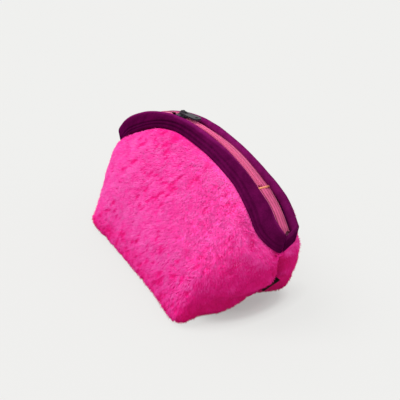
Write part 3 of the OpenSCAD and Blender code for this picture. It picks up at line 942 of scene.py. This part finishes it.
def velvet_binding(name, back):
    """One folded binding, with two sewn grooves along each face painted with shade, and a painted
    highlight along its fold.
    """
    line = []
    painted_highlight = []

    def place(u, v):
        angle = mix(-LEFT_TIP, RIGHT_TIP, u)
        down, out = binding_section(v, angle, back)
        over = np.degrees(np.arctan2(np.maximum(-down, 0), out))
        right = ease(8, 32, angle)
        # Painted highlight: near the top of the back's inner face, and over the front's upper rounding
        # with a faint wash towards the right end
        if back:
            fades = ease(mix(0.0, -1.5, right), mix(4.8, 2.0, right), down)
            painted_highlight.append(mix(1.0, 0.55, right) * (1 - fades))
        else:
            fold = ease(mix(-12, 40, right), mix(42, 112, right), over) * (1 - ease(0.0, 3.0, down))
            painted_highlight.append(np.maximum(fold, 0.22 * ease(-6, 14, angle)))
        stitch = 0.75 + 0.25 * np.cos(angle * math.pi * ARC_RADIUS / 180 * 2 * math.pi / STITCH_PITCH)
        for up in GROOVES_UP:
            groove = slope_of(angle, back) - up
            dip = GROOVE_DEPTH * stitch * np.exp(-((down - groove) / GROOVE_WIDTH) ** 2)
            out = out - dip * np.sign(out)
            # Painted shade along each groove, fainter towards the right end
            fade = 1 - 0.6 * ease(-8, 14, angle)
            line.append(np.where(out > 0, fade * np.exp(-((down - groove) / GROOVE_WIDTH) ** 2), 0))
        calm = 1 - ease(0.6, 0.95, np.abs(angle) / tip_of(angle))
        puff = 0.22 * calm * wander(on_binding(angle, down, out, back), 9, 6)
        return on_binding(angle, down, out + puff * np.sign(out), back)

    bm = laid_grid(240, 96, place)
    lit = bm.verts.layers.float.new("crest")
    sewn = bm.verts.layers.float.new("sewn")
    for v, depth, lift in zip(bm.verts, np.maximum(*line), painted_highlight[0]):
        v[sewn] = float(depth)
        v[lit] = float(lift)
    return finish_piece(name, close_tube(bm), VELVET)


def binding_stitches(name, back):
    """Two rows of short stitches lying in the grooves of the binding."""
    bm = bmesh.new()
    reach = STOP_ANGLE * math.pi / 180 * ARC_RADIUS
    count = int(2 * reach / STITCH_PITCH)
    for up in GROOVES_UP:
        for k in range(count):
            angle = math.degrees((-reach + (k + 0.5) * STITCH_PITCH) / ARC_RADIUS)
            groove = slope_of(np.array(angle), back) - up
            half = math.degrees(STITCH_LENGTH / 2 / ARC_RADIUS)
            lift = thickness_of(np.array(angle), back) / 2 - GROOVE_DEPTH - 0.08
            a = Vector(on_binding(np.array(angle - half), groove, lift, back)) * MM
            b = Vector(on_binding(np.array(angle + half), groove, lift, back)) * MM
            turn = (b - a).to_track_quat("Z", "Y").to_matrix().to_4x4()
            place = Matrix.Translation((a + b) / 2) @ turn
            bmesh.ops.create_cone(
                bm, cap_ends=True, segments=6, radius1=STITCH_RADIUS * MM, radius2=STITCH_RADIUS * MM,
                depth=(b - a).length, matrix=place
            )
    return finish_piece(name, bm, STITCH)


front_velvet = velvet_binding("front_velvet", False)
back_velvet = velvet_binding("back_velvet", True)
front_stitches = binding_stitches("front_stitches", False)
back_stitches = binding_stitches("back_stitches", True)


# Zip: tapes, coils, sewn stop and top stops

TAPE_RADIUS = ARC_RADIUS - TAPE_SINK
COIL_RADIUS = TAPE_RADIUS + TAPE_THICKNESS / 2 + COIL_DIAMETER / 2 + 0.05


def zip_tape(name, back):
    """One tape from the coil to under its binding, standing up where the open zip parts."""
    def place(u, v):
        cut = RIGHT_TIP - 1.7 - 0.3 * np.sin(9 * v + 1)
        angle = mix(-LEFT_TIP + 3, cut, u)
        edge = half_gap(angle, back) * nose(angle, back)
        if back:
            edge = edge * (1 - 0.1 * ease(26, 34, angle)) - 0.3 * ease(26, 29, angle)
        inner = mix(1.2, 0.12, ease(SLIDER_ANGLE - 1, SLIDER_ANGLE, angle))
        out = mix(np.minimum(inner, edge * 0.5), edge + 0.8, v)
        parted = ease(-30, -19, angle) * (1 - ease(-12.6, -11.0, angle))
        radius = TAPE_RADIUS - 0.5 * ease(0.3, 1.0, v) + TAPE_RISE * parted
        return on_side(on_arc(angle, radius, out), angle, back)

    bm = laid_grid(200, 12, place)
    piece = finish_piece(name, bm, TAPE, inside=(0, 0, 0))
    return thicken(piece, TAPE_THICKNESS, 0.0)


def zip_coil(name, back):
    """One side of the closed chain, a wound wire from the slider to the sewn stop."""
    reach = math.radians(STOP_ANGLE - SLIDER_ANGLE) * COIL_RADIUS
    turns = reach / COIL_PITCH

    def place(u, v):
        angle = mix(SLIDER_ANGLE, STOP_ANGLE, u)
        spin = 2 * math.pi * turns * u
        round_wire = 2 * math.pi * v
        ring = COIL_DIAMETER / 2 - COIL_WIRE + COIL_WIRE * np.cos(round_wire)
        out = COIL_DIAMETER / 2 + 0.06 + ring * np.cos(spin)
        radius = COIL_RADIUS + ring * np.sin(spin)
        shift = np.degrees(COIL_WIRE * np.sin(round_wire) / COIL_RADIUS)
        return on_side(on_arc(angle + shift, radius, out), angle, back)

    bm = close_tube(laid_grid(int(turns * 11), 5, place))
    return finish_piece(name, bm, COIL)


def sewn_stop():
    """A tight row of threads laid across both tapes where the chain ends."""
    bm = bmesh.new()
    width = FRONT_GAP_RIGHT + BACK_GAP_RIGHT + 0.6
    for k in range(TACK_COUNT):
        angle = STOP_ANGLE + 0.3 + 0.13 * k
        radius = TAPE_RADIUS + 0.55 + 0.12 * math.sin(k * 2.1)
        shift = (BACK_GAP_RIGHT - FRONT_GAP_RIGHT) / 2
        middle = Vector(on_arc(np.array(angle), radius, np.array(-shift))) * MM
        turn = Matrix.Rotation(math.radians(angle), 4, "Y") @ Matrix.Rotation(math.radians(90), 4, "X")
        bmesh.ops.create_cone(
            bm, cap_ends=True, segments=8, radius1=TACK_RADIUS * MM, radius2=TACK_RADIUS * MM,
            depth=(width + 0.4 * math.sin(k * 1.7)) * MM, matrix=Matrix.Translation(middle) @ turn
        )
    return finish_piece("stop_threads", bm, TACK)


def top_stop(name, node):
    """A small lacquered block gripping the edge of one tape, where the slider's way ends."""
    low, high = (Vector(corner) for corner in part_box(node))
    bm = bmesh.new()
    bmesh.ops.create_cube(bm, size=1)
    turn = Matrix.Rotation(math.radians(SLIDER_ANGLE - 3.3), 4, "Y")
    bmesh.ops.scale(bm, vec=Vector(TOP_STOP_SIZE) * MM, verts=bm.verts[:])
    bmesh.ops.bevel(
        bm, geom=bm.edges[:], offset=TOP_STOP_ROUND * MM, offset_type="OFFSET", affect="EDGES",
        segments=3, profile=0.5, material=-1
    )
    bmesh.ops.transform(bm, matrix=Matrix.Translation((low + high) / 2) @ turn, verts=bm.verts[:])
    return finish_piece(name, bm, STOP)


front_tape = zip_tape("front_tape", False)
back_tape = zip_tape("back_tape", True)
front_coil = zip_coil("front_coil", False)
back_coil = zip_coil("back_coil", True)
stop_threads = sewn_stop()
front_stop = top_stop("front_stop", "front_top_stop")
back_stop = top_stop("back_stop", "back_top_stop")


# Ribbon label folded into the right side seam

def folded_ribbon():
    """A loop of ribbon from the bottom of the right side seam, lying back a little."""
    foot, head, reach = (np.array(place) for place in (RIBBON_FOOT, RIBBON_HEAD, RIBBON_REACH))

    def place(u, v):
        turn = mix(-1, 1, v)
        way = np.abs(turn)
        run = 1 - way ** 2.2
        bow = np.sign(turn) * RIBBON_BOW * np.sqrt(np.clip(1 - (1 - way) ** 4, 0, 1))
        line = foot + (head - foot) * u[:, None]
        spread = reach * (run * mix(0.92, 1.08, u))[:, None]
        return line + spread + np.array([0.0, 1.0, 0.0]) * bow[:, None]

    bm = laid_grid(20, 32, place)
    piece = finish_piece("seam_ribbon", bm, RIBBON, inside=(60, 3, 19))
    return thicken(piece, RIBBON_THICKNESS, 0.0)


seam_ribbon = folded_ribbon()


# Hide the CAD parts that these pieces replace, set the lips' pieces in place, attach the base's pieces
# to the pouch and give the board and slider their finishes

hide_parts("front_panel", "front_lip_panel", "front_wadding")
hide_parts("back_panel", "back_lip_panel", "back_wadding")
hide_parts("base_panel")
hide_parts("front_lining", "front_lip_lining")
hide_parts("back_lining", "back_lip_lining")
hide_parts("base_lining")
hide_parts("front_binding", "left_binding_tip", "right_binding_tip")
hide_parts("back_binding")
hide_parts("front_binding_stitching")
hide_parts("back_binding_stitching")
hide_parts("front_zip_tape", "left_zip_end", "right_zip_end")
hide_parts("back_zip_tape")
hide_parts("front_zip_coil")
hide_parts("back_zip_coil")
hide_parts("zip_bartack")
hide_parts("front_top_stop")
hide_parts("back_top_stop")
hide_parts("side_label")

for lip, pieces in (
    ("front_lip", (front_plush, front_pile, front_satin, front_velvet, front_stitches, front_tape,
                   front_coil, front_stop)),
    ("back_lip", (back_stop, back_plush, back_pile, back_satin, back_velvet, back_stitches, back_tape,
                  back_coil)),
):
    for piece in pieces:
        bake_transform(piece)
for piece in (base_plush, base_pile, base_satin, stop_threads, seam_ribbon):
    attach(piece, "pouch")

for node, material in (
    ("base_board", BOARD), ("slider_body", METAL), ("slider_crown", METAL), ("pull_tab", METAL),
    ("slider_spring", STEEL),
):
    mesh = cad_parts[node].data
    mesh.materials.clear()
    mesh.materials.append(material)


# Floor, light and camera, in metres

FLOOR_HALF = 6.0
FLOOR_GLOW = (0.868, 0.868, 0.854, 1.0)
SHADE_MIDDLE = (0.059, 0.001)
SHADE_HALF = (0.016, 0.046)
SKY_STRENGTH = 1.1
SUN_STRENGTH = 2.45
SUN_SPREAD = 36.0
SUN_AIM = (0.2, 0.52, -0.83)
EYE = (0.257775, -0.188039, 0.197724)
EYE_FORWARD = (-0.71697, 0.53759, -0.44379)
EYE_DOWN = (0.41367, -0.18431, -0.89158)
EYE_LENS = 52.74


def paper_floor():
    """Pale paper that glows evenly to the eye, less so in the soft shade beside the right end."""
    bm = bmesh.new()
    bmesh.ops.create_grid(bm, x_segments=1, y_segments=1, size=FLOOR_HALF)
    paper = Finish("floor_paper")
    grain = paper.noise(40, 2)
    paper.colour(paper.ramp(grain, (0.0, (0.5, 0.5, 0.492, 1)), (1.0, (0.51, 0.51, 0.502, 1))))
    paper.set(Roughness=0.95, Specular_IOR_Level=0.0)
    glow = paper.tree.nodes.new("ShaderNodeEmission")
    glow.inputs["Color"].default_value = FLOOR_GLOW
    path = paper.tree.nodes.new("ShaderNodeLightPath")
    patch = paper.tree.nodes.new("ShaderNodeMapping")
    patch.inputs["Scale"].default_value = [1 / half for half in SHADE_HALF] + [1]
    offsets = [-middle / half for middle, half in zip(SHADE_MIDDLE, SHADE_HALF)]
    patch.inputs["Location"].default_value = offsets + [0]
    paper.link(paper.place.outputs["Object"], patch.inputs["Vector"])
    round_patch = paper.tree.nodes.new("ShaderNodeTexGradient")
    round_patch.gradient_type = "SPHERICAL"
    paper.link(patch.outputs["Vector"], round_patch.inputs["Vector"])
    glow_share = paper.ramp(
        round_patch.outputs["Fac"], (0.0, (0.84, 0.84, 0.84, 1)), (0.3, (0.7, 0.7, 0.7, 1)),
        (0.5, (0.45, 0.45, 0.45, 1)), (0.8, (0.34, 0.34, 0.34, 1))
    )
    share = paper.tree.nodes.new("ShaderNodeMath")
    share.operation = "MULTIPLY"
    paper.link(glow_share, share.inputs[1])
    seen = path.outputs["Is Camera Ray"]
    for ray in ("Is Glossy Ray", "Is Transmission Ray"):
        sum_up = paper.tree.nodes.new("ShaderNodeMath")
        sum_up.operation = "ADD"
        paper.link(seen, sum_up.inputs[0])
        paper.link(path.outputs[ray], sum_up.inputs[1])
        seen = sum_up.outputs["Value"]
    paper.link(seen, share.inputs[0])
    both = paper.tree.nodes.new("ShaderNodeMixShader")
    paper.link(share.outputs["Value"], both.inputs["Fac"])
    paper.link(paper.shader.outputs["BSDF"], both.inputs[1])
    paper.link(glow.outputs["Emission"], both.inputs[2])
    paper.link(both.outputs["Shader"], paper.output.inputs["Surface"])
    floor = finish_piece("floor", bm, paper.material)


def light():
    world = bpy.data.worlds.new("studio")
    world.use_nodes = True
    sky = world.node_tree.nodes["Background"]
    sky.inputs["Color"].default_value = (1.0, 1.0, 1.0, 1.0)
    sky.inputs["Strength"].default_value = SKY_STRENGTH
    bpy.context.scene.world = world

    lamp = bpy.data.lights.new("window", "SUN")
    lamp.angle = math.radians(SUN_SPREAD)
    lamp.energy = SUN_STRENGTH
    key = bpy.data.objects.new("window", lamp)
    key.matrix_world = Vector(SUN_AIM).to_track_quat("-Z", "Y").to_matrix().to_4x4()
    bpy.context.scene.collection.objects.link(key)


def photo_camera():
    lens = bpy.data.cameras.new("photo_view")
    lens.sensor_width = 36.0
    lens.lens = EYE_LENS
    lens.clip_start = 0.01
    view = bpy.data.objects.new("photo_view", lens)
    forward = Vector(EYE_FORWARD).normalized()
    right = Vector(EYE_DOWN).cross(forward).normalized()
    up = right.cross(forward).normalized()
    turn = Matrix((right, up, -forward)).transposed().to_4x4()
    view.matrix_world = Matrix.Translation(EYE) @ turn
    bpy.context.scene.collection.objects.link(view)
    bpy.context.scene.camera = view


paper_floor()
light()
photo_camera()
bpy.context.scene.view_settings.view_transform = "Standard"
